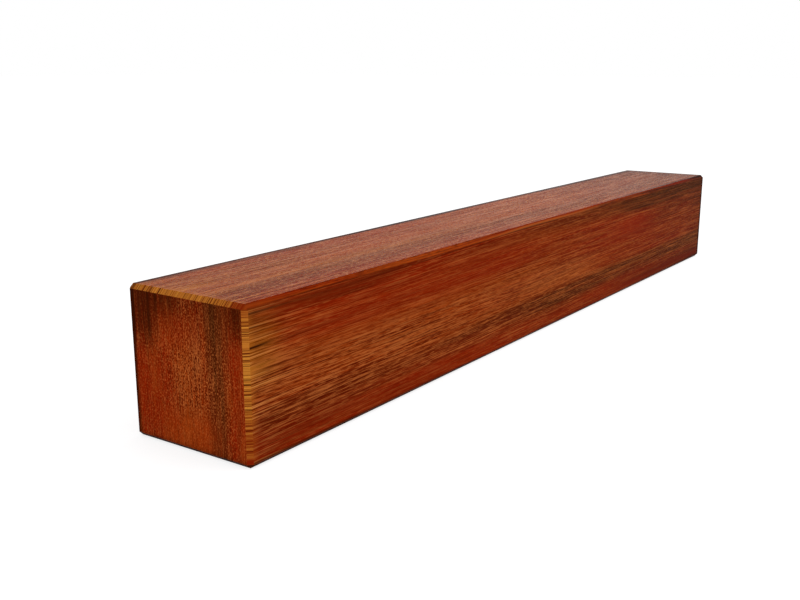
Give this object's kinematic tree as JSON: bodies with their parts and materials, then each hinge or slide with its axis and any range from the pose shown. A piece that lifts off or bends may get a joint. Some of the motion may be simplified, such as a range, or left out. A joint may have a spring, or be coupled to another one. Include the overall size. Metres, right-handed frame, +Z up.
{
  "type": "square timber batten",
  "caption": "Straight square-section hardwood batten, planed all round, with every edge eased by a small flat chamfer; a fixing strip, baluster or trim stock.",
  "frame": {"origin": "middle of the face that the batten lies on", "axes": "+X along the grain, from the near end of the picture to the far end; +Z up; -Y out of the long face that the picture shows"},
  "size_m": [0.3048, 0.0382, 0.0381],
  "materials": {
    "hardwood": "satin"
  },
  "bodies": {
    "root": {"batten": "hardwood"}
  },
  "joints": []
}
